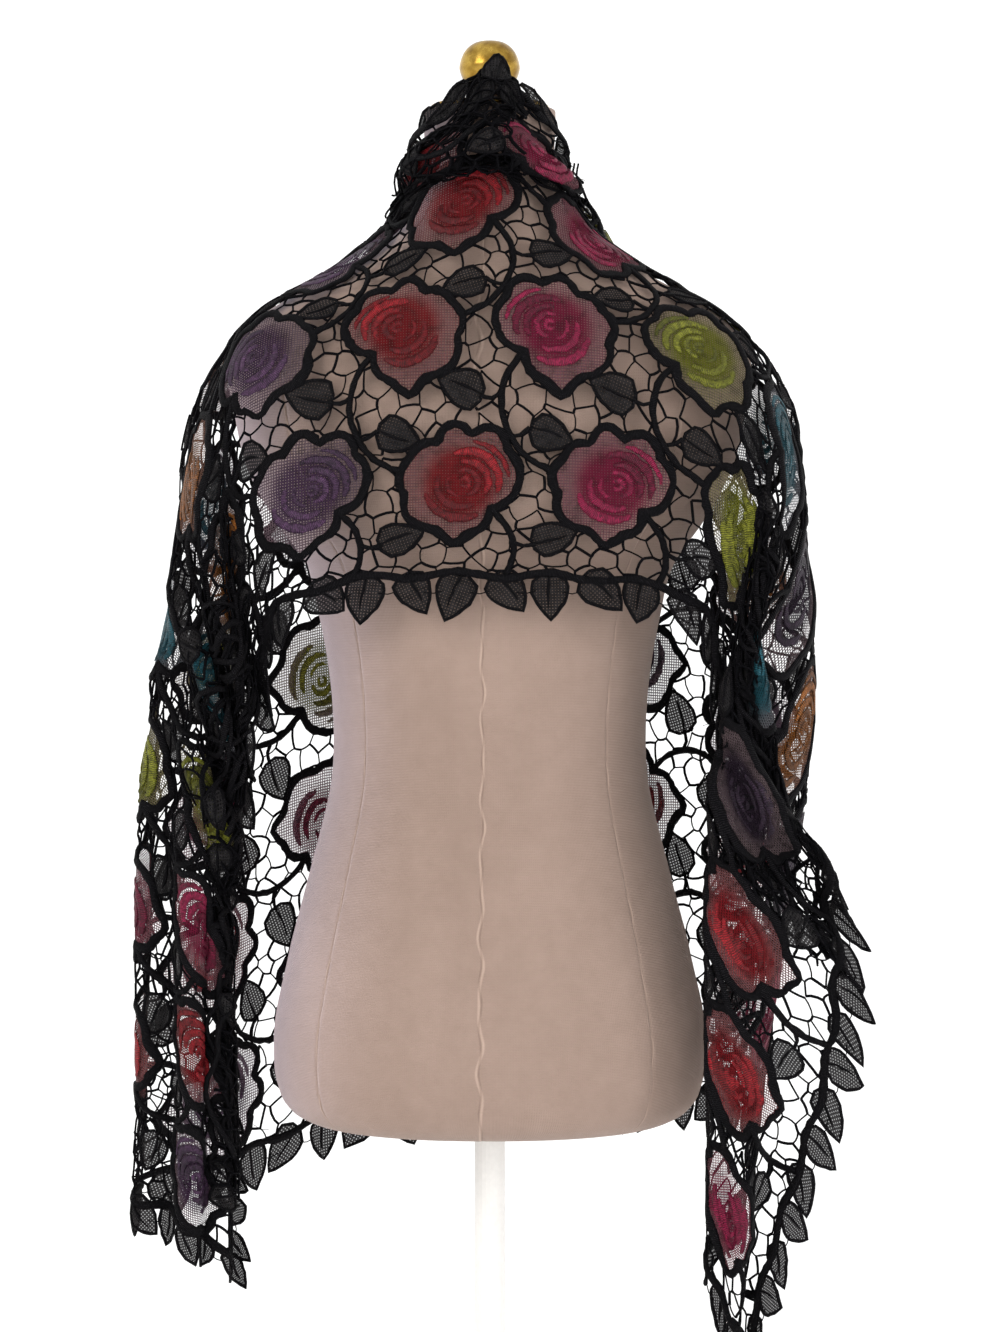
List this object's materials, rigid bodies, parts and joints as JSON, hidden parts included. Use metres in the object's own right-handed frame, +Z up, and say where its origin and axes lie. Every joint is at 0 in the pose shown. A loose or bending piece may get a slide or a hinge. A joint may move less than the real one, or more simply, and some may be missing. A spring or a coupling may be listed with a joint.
{
  "type": "lace mantilla on a dress form",
  "caption": "Black lace mantilla with rows of coloured roses, draped over the neck knob and shoulders of a limbless dress form on a counter stand.",
  "frame": {"origin": "centre of the stand base's underside", "axes": "+Z up, +X to the right as seen from behind the form, -Y towards the form's back, which the picture shows"},
  "size_m": [0.5594, 0.305, 1.1376],
  "materials": {
    "black_lace": "matt corded thread",
    "form_jersey": "matt knitted jersey",
    "brass": "polished",
    "stand_paint": "satin off-white"
  },
  "bodies": {
    "root": {"lace_back": "black_lace", "lace_left_fall": "black_lace", "lace_left_end": "black_lace", "lace_right_fall": "black_lace", "lace_right_end": "black_lace", "form_body": "form_jersey", "neck_cap": "brass", "neck_knob": "brass", "stand_pole": "stand_paint", "stand_base": "stand_paint"}
  },
  "joints": []
}
